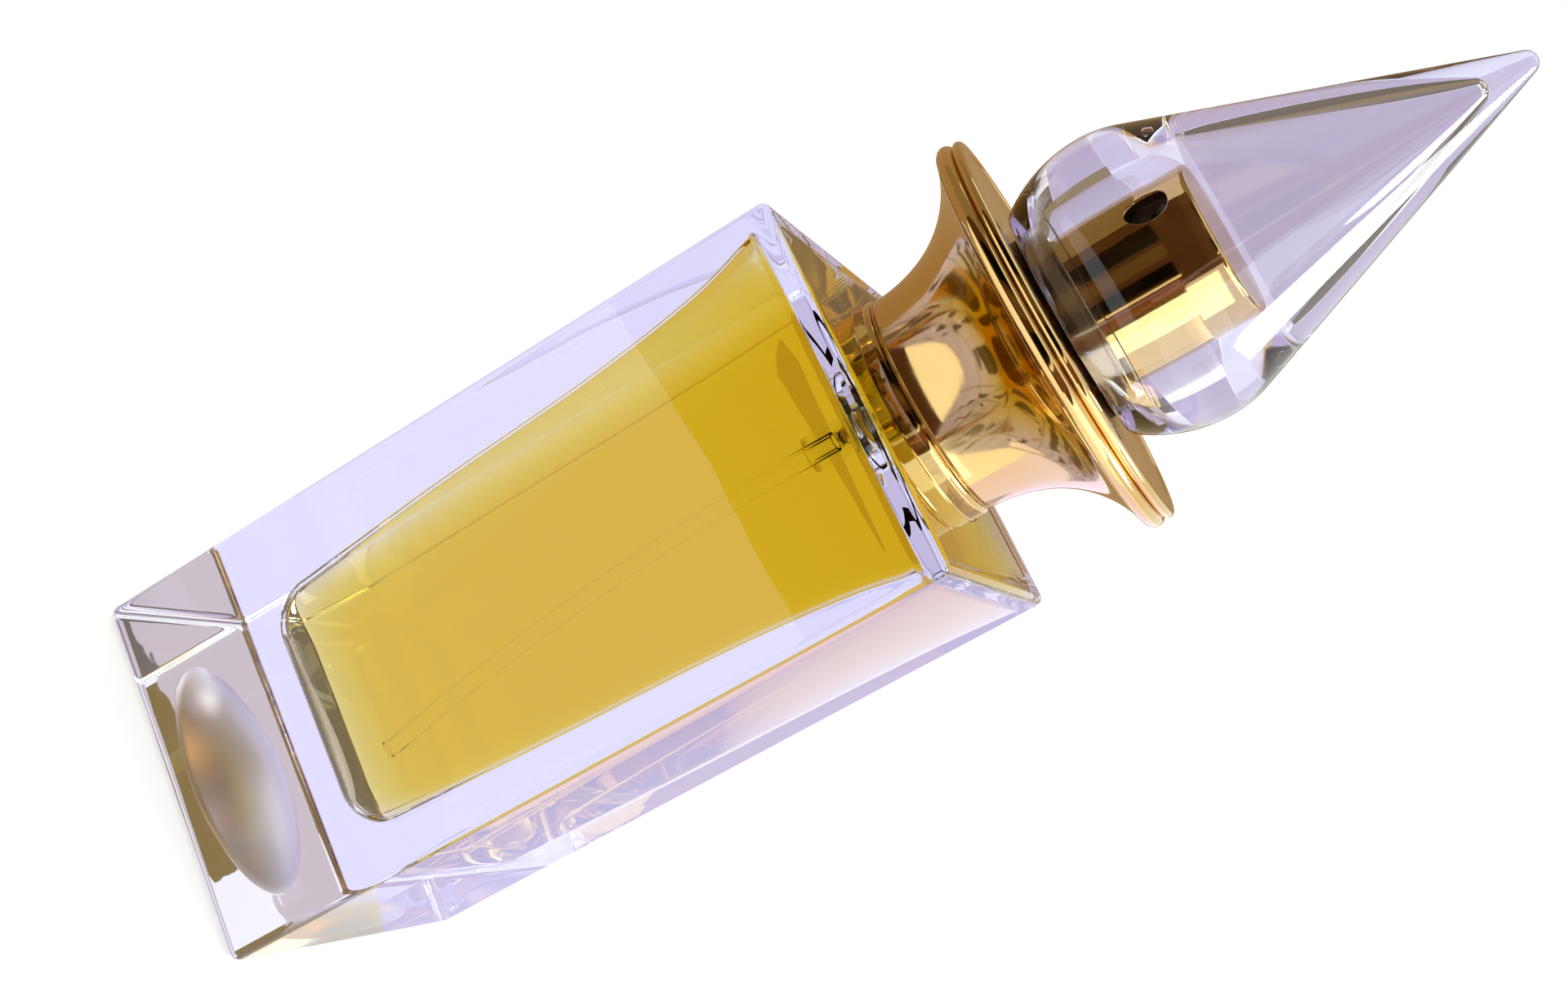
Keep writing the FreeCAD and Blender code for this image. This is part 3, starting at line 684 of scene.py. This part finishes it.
def pierce(cup):
    """Cut the round spray hole through a lathed cup: an opening in both walls, joined by a tunnel."""
    across = Vector((0, 0, 1)).cross(SPRAY_AIM)

    def spot(point):
        """Place on the cup's unrolled side, from the middle of the hole."""
        outward = Vector((point.x, point.y, 0)).normalized()
        return Vector((outward.dot(across) * BUTTON_RADIUS, point.z - SPRAY_HEIGHT))

    def spot_key(place):
        """Whole micrometres, which match on the two walls."""
        return round(place.x * 1e6), round(place.y * 1e6)

    def in_window(face):
        """True for a face in the square round the hole, which is taken out."""
        middle = face.calc_center_median()
        place = spot(middle)
        facing = Vector((middle.x, middle.y, 0)).dot(SPRAY_AIM) > BUTTON_RADIUS / 2
        return facing and max(abs(place.x), abs(place.y)) < HOLE_WINDOW

    builder = bmesh.new()
    builder.from_mesh(cup.data)
    inside = [face for face in builder.faces if in_window(face)]
    bmesh.ops.delete(builder, geom=inside, context="FACES")
    border = [edge for edge in builder.edges if edge.is_boundary]
    chains = {}
    rims = {}
    for corner in (corner for edge in border for corner in edge.verts):
        if corner in chains:
            continue
        wall_radius = Vector((corner.co.x, corner.co.y)).length
        edge_spot = spot(corner.co)
        hole_spot = edge_spot.normalized() * SPRAY_HOLE
        chain = [corner]
        for share in (0.6, 0.3, 0.1, 0.02, 0):
            place = hole_spot.lerp(edge_spot, share)
            depth = math.sqrt(wall_radius ** 2 - place.x ** 2)
            point = across * place.x + SPRAY_AIM * depth + Vector((0, 0, SPRAY_HEIGHT + place.y))
            chain.append(builder.verts.new(point))
        chains[corner] = chain
        side = wall_radius > BUTTON_RADIUS - BUTTON_WALL / 2
        rims[(side, *spot_key(edge_spot))] = chain[-1]
    for edge in border:
        first, second = (chains[corner] for corner in edge.verts)
        for k in range(len(first) - 1):
            builder.faces.new((first[k], second[k], second[k + 1], first[k + 1]))
        keys = [spot_key(spot(corner.co)) for corner in edge.verts]
        if Vector(edge.verts[0].co.xy).length > BUTTON_RADIUS - BUTTON_WALL / 2:
            outer = [rims[(True, *key)] for key in keys]
            inner = [rims[(False, *key)] for key in keys]
            builder.faces.new((outer[0], outer[1], inner[1], inner[0]))
    bmesh.ops.recalc_face_normals(builder, faces=builder.faces)
    builder.to_mesh(cup.data)
    builder.free()
    for face in cup.data.polygons:
        face.use_smooth = True


def make_button():
    """Gold cup over the button: rounded top edge, thin wall and a round spray hole."""
    edge = 0.45 * MM
    bore = BUTTON_RADIUS - BUTTON_WALL
    rows = [SPRAY_HEIGHT + HOLE_WINDOW * (1 - k / 8) for k in range(17)]
    outline = softened([
        (0, BUTTON_TOP),
        (BUTTON_RADIUS, BUTTON_TOP, edge),
        *((BUTTON_RADIUS, row) for row in rows),
        (BUTTON_RADIUS, BUTTON_LOW, 0.1 * MM),
        (bore, BUTTON_LOW, 0.1 * MM),
        *((bore, row) for row in reversed(rows)),
        (bore, BUTTON_TOP - BUTTON_WALL, 0.1 * MM),
        (0, BUTTON_TOP - BUTTON_WALL),
    ])
    cup = lathe("gold_button", outline)
    pierce(cup)
    dress(cup, mirror_gold("button_gold", rough=0.05))
    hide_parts("button_sleeve")
    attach(cup, "button")


def make_nozzle():
    """Dark orifice cup in the spray hole: rounded rim, dished face and a fine orifice."""
    radius = 1.5 * MM
    face = 7.04 * MM
    back = face - 2.6 * MM
    orifice = 0.18 * MM
    bore = radius - 0.45 * MM
    dish = 1.1 * MM
    dish_floor = 0.5 * MM
    outline = softened([
        (bore, back),
        (radius, back),
        (radius, face, 0.12 * MM),
        (dish, face, 0.08 * MM),
        (dish - 0.1 * MM, face - 0.15 * MM, 0.05 * MM),
        (dish_floor, face - 0.3 * MM, 0.2 * MM),
        (orifice, face - 0.4 * MM, 0.05 * MM),
        (orifice, face - 0.7 * MM),
        (bore, face - 0.7 * MM),
    ], 4)
    nozzle = lathe("spray_nozzle", outline, SMALL_TURNS)
    turn = SPRAY_AIM.to_track_quat("Z", "Y").to_matrix().to_4x4()
    nozzle.data.transform(Matrix.Translation((0, 0, SPRAY_HEIGHT)) @ turn)
    dress(nozzle, moulded("nozzle_plastic", (0.05, 0.035, 0.025), rough=0.3))
    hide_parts("nozzle_insert")
    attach(nozzle, "button")


TUBE_RADIUS = 1.0 * MM
TUBE_BORE = 0.7 * MM
TUBE_BEND_START = 66.0 * MM
TUBE_BEND_RADIUS = 252.0 * MM
TUBE_BEND_ANGLE = math.radians(11.3)
TUBE_STEPS = 48                  # round the tube, and along its bend


def tube_rings(radius, reverse=False):
    """Rings along the dip tube: straight down from the pump, then one long bend towards +X."""
    top = top_of("dip_tube")
    rings = [circle(radius, top, TUBE_STEPS), circle(radius, TUBE_BEND_START, TUBE_STEPS)]
    pivot = Vector((TUBE_BEND_RADIUS, 0, TUBE_BEND_START))
    for k in range(1, TUBE_STEPS + 1):
        spin = Matrix.Rotation(-TUBE_BEND_ANGLE * k / TUBE_STEPS, 3, "Y")
        rings.append([spin @ (point - pivot) + pivot for point in rings[1]])
    return rings[::-1] if reverse else rings


def make_dip_tube():
    """Thin clear tube from the pump to the bottom of the hollow, nearly lost in the liquid."""
    rings = tube_rings(TUBE_RADIUS) + tube_rings(TUBE_BORE, reverse=True)
    tube = skin("clear_dip_tube", rings, close=True)
    dress(tube, clear_tube())
    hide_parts("dip_tube")
    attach(tube, "bottle")


def make_pump_housing():
    """Translucent pump body with a stepped lower end and the spigot that holds the dip tube."""
    low = bottom_of("pump_housing")
    high = top_of("pump_housing")
    step = low + 4.6 * MM
    seat = low + 3.1 * MM
    chamber = low + 5.7 * MM
    flange = high - 1.0 * MM
    socket = TUBE_RADIUS + 0.02 * MM
    spigot = 1.85 * MM
    body = 4.2 * MM
    flange_radius = 7.4 * MM
    chamber_bore = 3.0 * MM
    cage = 1.25 * MM
    cage_mouth = 0.9 * MM
    cage_top = chamber - 0.25 * MM
    inlet = 0.75 * MM
    socket_top = seat - 0.4 * MM
    outline = softened([
        (socket, low, 0.1 * MM),
        (spigot, low, 0.25 * MM),
        (spigot, step, 0.2 * MM),
        (body, step, 0.6 * MM),
        (body, flange, 0.1 * MM),
        (flange_radius, flange, 0.1 * MM),
        (flange_radius, high, 0.1 * MM),
        (chamber_bore, high, 0.1 * MM),
        (chamber_bore, chamber, 0.2 * MM),
        (cage_mouth, chamber, 0.05 * MM),
        (cage_mouth, cage_top, 0.05 * MM),
        (cage, cage_top, 0.05 * MM),
        (cage, seat, 0.1 * MM),
        (inlet, seat, 0.05 * MM),
        (inlet, socket_top),
        (socket, socket_top),
    ], 4)
    housing = lathe("pump_body", outline, SMALL_TURNS)
    dress(housing, frosted_tube())
    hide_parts("pump_housing")
    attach(housing, "bottle")


def make_spring(node_name, body, coil_radius, wire, turns):
    """Coil of round wire from the node's bottom to its top, carried by its body."""
    low = bottom_of(node_name)
    high = top_of(node_name)
    rise = high - low - 2 * wire
    sides = 12
    steps = turns * 36
    rings = []
    middles = []
    for k in range(steps + 1):
        spin = Matrix.Rotation(2 * math.pi * turns * k / steps, 3, "Z")
        height = low + wire + rise * k / steps
        middles.append(spin @ Vector((coil_radius, 0, 0)) + Vector((0, 0, height)))
        ring = []
        for side in range(sides):
            angle = 2 * math.pi / sides * side
            outward = Vector((coil_radius + wire * math.cos(angle), 0, 0))
            ring.append(spin @ outward + Vector((0, 0, height + wire * math.sin(angle))))
        rings.append(ring)
    spring = skin("steel_" + node_name, [[middles[0]]] + rings + [[middles[-1]]])
    dress(spring, drawn_metal(node_name + "_wire", (0.78, 0.78, 0.80), rough=0.25))
    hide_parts(node_name)
    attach(spring, body)
    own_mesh(spring)


def make_springs():
    """Return spring on the chamber's floor and small spring under the stem's shoulder."""
    make_spring("return_spring", "bottle", 1.9 * MM, 0.25 * MM, 5)
    make_spring("inner_spring", "stem", 1.85 * MM, 0.15 * MM, 2)


def cone_steps(radius, height, tip_round, slope, tip_steps):
    """Points from the cone's start up its side and over the rounded tip to the axis."""
    apex = height + radius / math.tan(slope)
    centre = (0, apex - tip_round / math.sin(slope))
    tip = arc(centre, tip_round, math.degrees(slope), 90, tip_steps)
    start = Vector((radius, height))
    end = Vector(tip[0])
    side = [tuple(start.lerp(end, k / 12)) for k in range(1, 12)]
    side.append(tuple(start.lerp(end, 0.995)))
    return side + tip


def make_cap():
    """Clear teardrop cap: full lower bulge, long straight cone and a hollow of the same slope."""
    cone_angle = 21.26
    slope = math.radians(cone_angle)
    widest_height = CAP_LOW + 8.7 * MM
    upper_radius = 11.4 * MM
    mouth = 11.7 * MM
    mouth_trim = 1.2             # degrees of the lower arc given up to the mouth's rounded edge
    drop = widest_height - CAP_LOW
    inset = CAP_WIDEST - mouth
    lower_radius = (drop ** 2 + inset ** 2) / (2 * inset)
    lower_start = mouth_trim - math.degrees(math.asin(drop / lower_radius))
    outline = [
        (CAP_BORE + 0.35 * MM, CAP_LOW),
        (mouth - 0.5 * MM, CAP_LOW),
        (mouth - 0.2 * MM, CAP_LOW),
        (mouth - 0.02 * MM, CAP_LOW + 0.1 * MM),
    ]
    lower_centre = (CAP_WIDEST - lower_radius, widest_height)
    upper_centre = (CAP_WIDEST - upper_radius, widest_height)
    outline.extend(arc(lower_centre, lower_radius, lower_start, 0, 24))
    outline.extend(arc(upper_centre, upper_radius, 0, cone_angle, 14)[1:])
    outline.extend(cone_steps(*outline[-1], 1.2 * MM, slope, 10))
    hollow_round = 4.0 * MM
    cone_start = CAP_LOW + 15.4 * MM
    bore_heights = (CAP_LOW + 0.35 * MM, CAP_LOW + 0.7 * MM, cone_start - 4 * MM)
    inner = [(CAP_BORE, height) for height in bore_heights]
    inner.extend(arc((CAP_BORE - hollow_round, cone_start), hollow_round, 0, cone_angle, 10))
    inner.extend(cone_steps(*inner[-1], 0.8 * MM, slope, 8))
    rings = [circle(r, z) for r, z in reversed(outline)]
    rings.extend(circle(r, z) for r, z in inner)
    cap = skin("clear_cap_shell", rings)
    dress(cap, clear_acrylic("cap_acrylic"))
    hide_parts("cap_shell")
    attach(cap, "cap")


def make_liner():
    """Clear sleeve in the cap's mouth, a hair inside the cap's bore."""
    low = bottom_of("cap_liner")
    high = top_of("cap_liner")
    bore = RING_RADIUS + 0.06 * MM
    outer = CAP_BORE - 0.02 * MM
    outline = softened([
        (bore, low, 0.2 * MM),
        (outer, low, 0.1 * MM),
        (outer, high, 0.1 * MM),
        (bore, high, 0.15 * MM),
    ], 4)
    liner = lathe("clear_cap_liner", outline)
    dress(liner, clear_acrylic("liner_acrylic"))
    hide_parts("cap_liner")
    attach(liner, "cap")


def dress_inner_pieces():
    """Materials of the CAD pieces that keep their own shape."""
    natural = moulded("natural_plastic", (0.82, 0.82, 0.78), rough=0.35)
    dark = moulded("dark_plastic", (0.035, 0.025, 0.02), rough=0.35)
    rubber = moulded("seal_rubber", (0.03, 0.03, 0.032), rough=0.6)
    steel = drawn_metal("ball_steel", (0.78, 0.78, 0.80), rough=0.25)
    aluminium = drawn_metal("ferrule_aluminium", (0.8, 0.8, 0.82), rough=0.3)
    looks = {
        "check_ball": steel,
        "pump_stem": natural,
        "valve_rod": natural,
        "piston": natural,
        "pump_turret": natural,
        "stem_seal": rubber,
        "neck_gasket": rubber,
        "crimp_ferrule": aluminium,
        "collar_insert": dark,
        "button_core": dark,
    }
    for name, material in looks.items():
        dress(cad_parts[name], material)


# ---------------------------------------------------------------- studio

def glow(name, colour):
    """Plain emitting material for a studio card."""
    material = bpy.data.materials.new(name)
    material.use_nodes = True
    nodes = material.node_tree.nodes
    nodes.remove(nodes["Principled BSDF"])
    lamp = node(material, "ShaderNodeEmission")
    lamp.inputs["Color"].default_value = (*colour, 1)
    join(material, lamp.outputs[0], nodes["Material Output"].inputs["Surface"])
    return material


def card(name, azimuths, inner_edge, outer_edge, colour, seen_in):
    """Studio card curved round the bottle, between two azimuths in degrees from the front.

    Its edges are (distance from the axis, height): one height makes a level card just above the floor,
    one distance an upright one. Only reflections or clear pieces show a card, as seen_in says.
    """
    steps = 24
    start, end = azimuths
    verts = []
    faces = []
    for k in range(steps + 1):
        angle = math.radians(start + (end - start) * k / steps)
        for distance, height in (inner_edge, outer_edge):
            verts.append((distance * math.sin(angle), -distance * math.cos(angle), height))
        if k < steps:
            faces.append((2 * k, 2 * k + 1, 2 * k + 3, 2 * k + 2))
    piece = new_object(name, verts, faces)
    dress(piece, glow(name, colour))
    piece.visible_camera = False
    piece.visible_diffuse = False
    piece.visible_shadow = False
    piece.visible_transmission = seen_in in ("glass", "both")
    piece.visible_glossy = seen_in in ("gloss", "both")


LAVENDER = (0.54, 0.47, 0.66)
PALE_LAVENDER = (0.86, 0.85, 1.08)
MID_LAVENDER = (0.66, 0.60, 0.82)
ASH = (0.66, 0.58, 0.60)
TAN = (0.44, 0.29, 0.14)
LAVENDER_BLUE = (1.2, 1.15, 1.75)
BROWN = (0.09, 0.042, 0.018)
RUST = (0.24, 0.09, 0.035)
BLACK = (0.004, 0.003, 0.003)
CREAM = (1.3, 1.2, 1.0)
OLIVE = (0.15, 0.09, 0.03)
KHAKI = (0.30, 0.23, 0.13)
BRIGHT = (2.0, 2.3, 2.5)
UMBER = (0.24, 0.16, 0.06)
CLAY = (0.16, 0.135, 0.10)
# Tone of the painted shadow under the punt: a dark olive colour standing in for the shade and golden
# caustic beneath the bottle
PUNT_SHADOW = (0.15, 0.12, 0.07)
MOSS = (0.25, 0.16, 0.03)

# Cards in metres: name, azimuths, inner or lower edge, outer or upper edge, colour, what shows them.
# Level cards lie between the floor and the bottle's underside, each at a height of its own.
CARDS = (
    ("card_back", (-215, -88), (0.9, 0.0), (0.9, 0.38), LAVENDER, "glass"),
    ("card_back_mid", (-215, -150), (0.9, 0.50), (0.9, 0.62), ASH, "glass"),
    ("card_back_high", (-166, -140), (0.9, 0.62), (0.9, 1.2), MOSS, "glass"),
    ("card_sky_left", (-140, -100), (0.95, 0.40), (0.95, 1.7), CLAY, "glass"),
    ("card_sky_high", (-240, -120), (0.95, 1.25), (0.95, 2.6), CLAY, "glass"),
    ("card_sky_right", (-290, -198), (0.95, 0.40), (0.95, 1.7), CLAY, "glass"),
    ("flag_back", (-180, 180), (0.0, -0.15 * MM), (0.88, -0.15 * MM), PALE_LAVENDER, "glass"),
    ("flag_back_far", (-176, -100), (0.26, -0.14 * MM), (0.89, -0.14 * MM), MID_LAVENDER, "glass"),
    ("card_left", (-180, -60), (0.9, 0.0), (0.9, 0.7), TAN, "gloss"),
    ("flag_left", (-180, -62), (0.045, -0.12 * MM), (0.88, -0.12 * MM), TAN, "gloss"),
    ("flag_right", (110, 179), (0.0, -0.10 * MM), (0.6, -0.10 * MM), LAVENDER_BLUE, "gloss"),
    ("card_button", (-110, -58), (0.85, 0.0), (0.85, 1.3), KHAKI, "both"),
    ("card_front", (-62, 52), (0.8, 0.0), (0.8, 1.3), BROWN, "both"),
    ("flag_front", (-62, 44), (0.24, -0.08 * MM), (0.84, -0.08 * MM), BROWN, "both"),
    ("flag_front_left", (-84, -62), (0.42, -0.08 * MM), (0.84, -0.08 * MM), KHAKI, "both"),
    ("flag_front_near", (-60, 44), (0.03, -0.11 * MM), (0.24, -0.11 * MM), UMBER, "glass"),
    ("flag_bright", (48, 100), (0.32, -0.06 * MM), (0.80, -0.06 * MM), BRIGHT, "both"),
    # Painted shadow: a dark glowing disc under the punt, seen only through the glass, in place of the
    # shade beneath the bottle
    ("flag_punt", (-180, 180), (0.0, -0.13 * MM), (0.0135, -0.13 * MM), PUNT_SHADOW, "glass"),
    ("card_bright", (50, 88), (0.8, 0.0), (0.8, 0.9), BRIGHT, "both"),
    ("card_black_a", (-45, -20), (0.75, 0.0), (0.75, 1.3), BLACK, "both"),
    ("card_black_b", (10, 28), (0.75, 0.0), (0.75, 1.3), BLACK, "both"),
    ("card_rust", (34, 46), (0.74, 0.0), (0.74, 1.3), RUST, "both"),
    ("card_cream", (29, 32), (0.72, 0.0), (0.72, 1.3), CREAM, "both"),
    ("card_olive", (-14, 2), (0.72, 0.0), (0.72, 1.3), OLIVE, "both"),
)

FLOOR_HEIGHT = -0.3 * MM
FLOOR_RADIUS = 3.0
FLOOR_GREY = 0.6
FLOOR_GLOW = 0.55
WORLD_GLOW = 1.05
KEY_POWER = 10
KEY_SIZE = 0.5
KEY_PLACE = (0.9, 0.35, 0.8)
KEY_AIM = Vector((0, 0, 0.06))

CAMERA_PLACE = Vector((47.3, -157.5, 106.1)) * MM
CAMERA_AIM = Vector((0.3, 0.1, 63.9)) * MM
CAMERA_ROLL = math.radians(60.1)
LENS = 39.41
SENSOR = 36


def make_studio():
    """Pale floor, white surroundings, one soft light and the cards that gold and glass show."""
    corners = circle(FLOOR_RADIUS, FLOOR_HEIGHT, SMALL_TURNS)
    floor = new_object("floor", corners, [tuple(range(len(corners)))], smooth=False)
    white = surface(
        "floor_white",
        (FLOOR_GREY, FLOOR_GREY, FLOOR_GREY),
        roughness=0.8,
        specular_ior_level=0.0,
        emission_strength=FLOOR_GLOW,
    )
    shader_of(white).inputs["Emission Color"].default_value = (1, 1, 1, 1)
    dress(floor, white)
    world = bpy.data.worlds.new("studio")
    world.use_nodes = True
    background = world.node_tree.nodes["Background"]
    background.inputs["Color"].default_value = (1, 1, 1, 1)
    background.inputs["Strength"].default_value = WORLD_GLOW
    bpy.context.scene.world = world
    for row in CARDS:
        card(*row)
    key = bpy.data.lights.new("key", "AREA")
    key.energy = KEY_POWER
    key.size = KEY_SIZE
    lamp = bpy.data.objects.new("key", key)
    lamp.location = KEY_PLACE
    lamp.rotation_euler = (KEY_AIM - lamp.location).to_track_quat("-Z", "Y").to_euler()
    bpy.context.scene.collection.objects.link(lamp)
    scene = bpy.context.scene
    scene.view_settings.view_transform = "Standard"
    scene.cycles.max_bounces = 24
    scene.cycles.transmission_bounces = 24
    scene.cycles.glossy_bounces = 12


def make_camera():
    """Close camera, a little above the cap's base and to the right, rolled so the bottle leans right."""
    lens = bpy.data.cameras.new("camera")
    lens.lens = LENS
    lens.sensor_width = SENSOR
    lens.clip_start = 0.01
    camera = bpy.data.objects.new("camera", lens)
    look = (CAMERA_AIM - CAMERA_PLACE).to_track_quat("-Z", "Y").to_matrix().to_4x4()
    roll = Matrix.Rotation(CAMERA_ROLL, 4, "Z")
    camera.matrix_world = Matrix.Translation(CAMERA_PLACE) @ look @ roll
    bpy.context.scene.collection.objects.link(camera)
    bpy.context.scene.camera = camera


make_bottle()
make_perfume()
make_collar()
make_plate()
make_ring()
make_button()
make_nozzle()
make_dip_tube()
make_pump_housing()
make_springs()
make_cap()
make_liner()
dress_inner_pieces()
make_studio()
make_camera()
